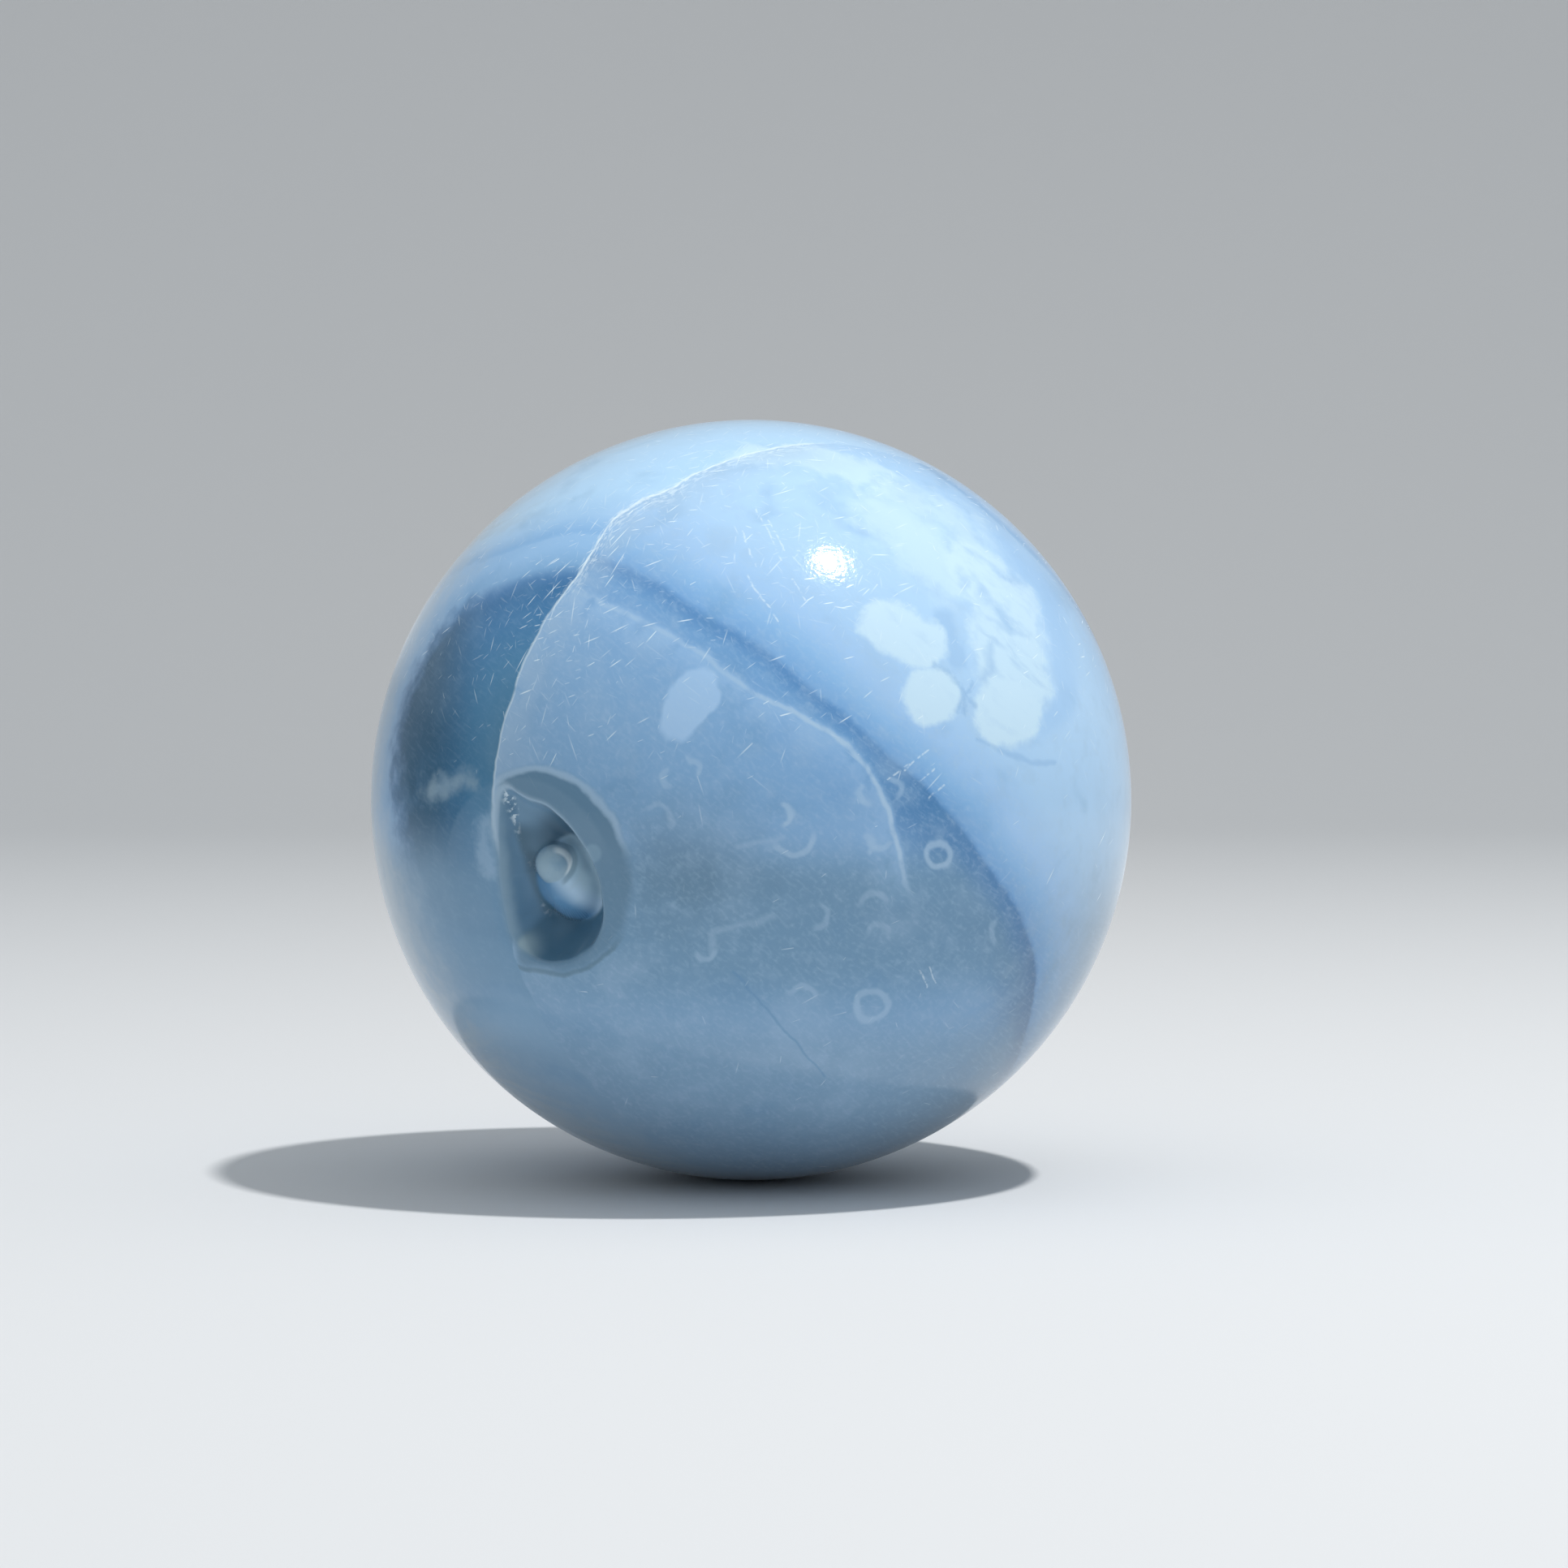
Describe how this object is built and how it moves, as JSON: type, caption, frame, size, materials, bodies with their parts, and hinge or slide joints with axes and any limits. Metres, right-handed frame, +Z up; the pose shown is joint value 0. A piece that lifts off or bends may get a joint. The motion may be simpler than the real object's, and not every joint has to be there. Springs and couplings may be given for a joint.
{
  "type": "opal sphere",
  "caption": "Polished ball of milky blue opal with a natural pocket open in its side, lined by a rounded mound and bead; a display and desk stone.",
  "frame": {"origin": "centre of the sphere", "axes": "+Z up as it sits on its stand, -Y towards the viewer, so the pocket opens to the front left"},
  "size_m": [0.05, 0.05, 0.05],
  "materials": {
    "opal": "polished"
  },
  "bodies": {
    "root": {"opal_sphere": "opal"}
  },
  "joints": []
}
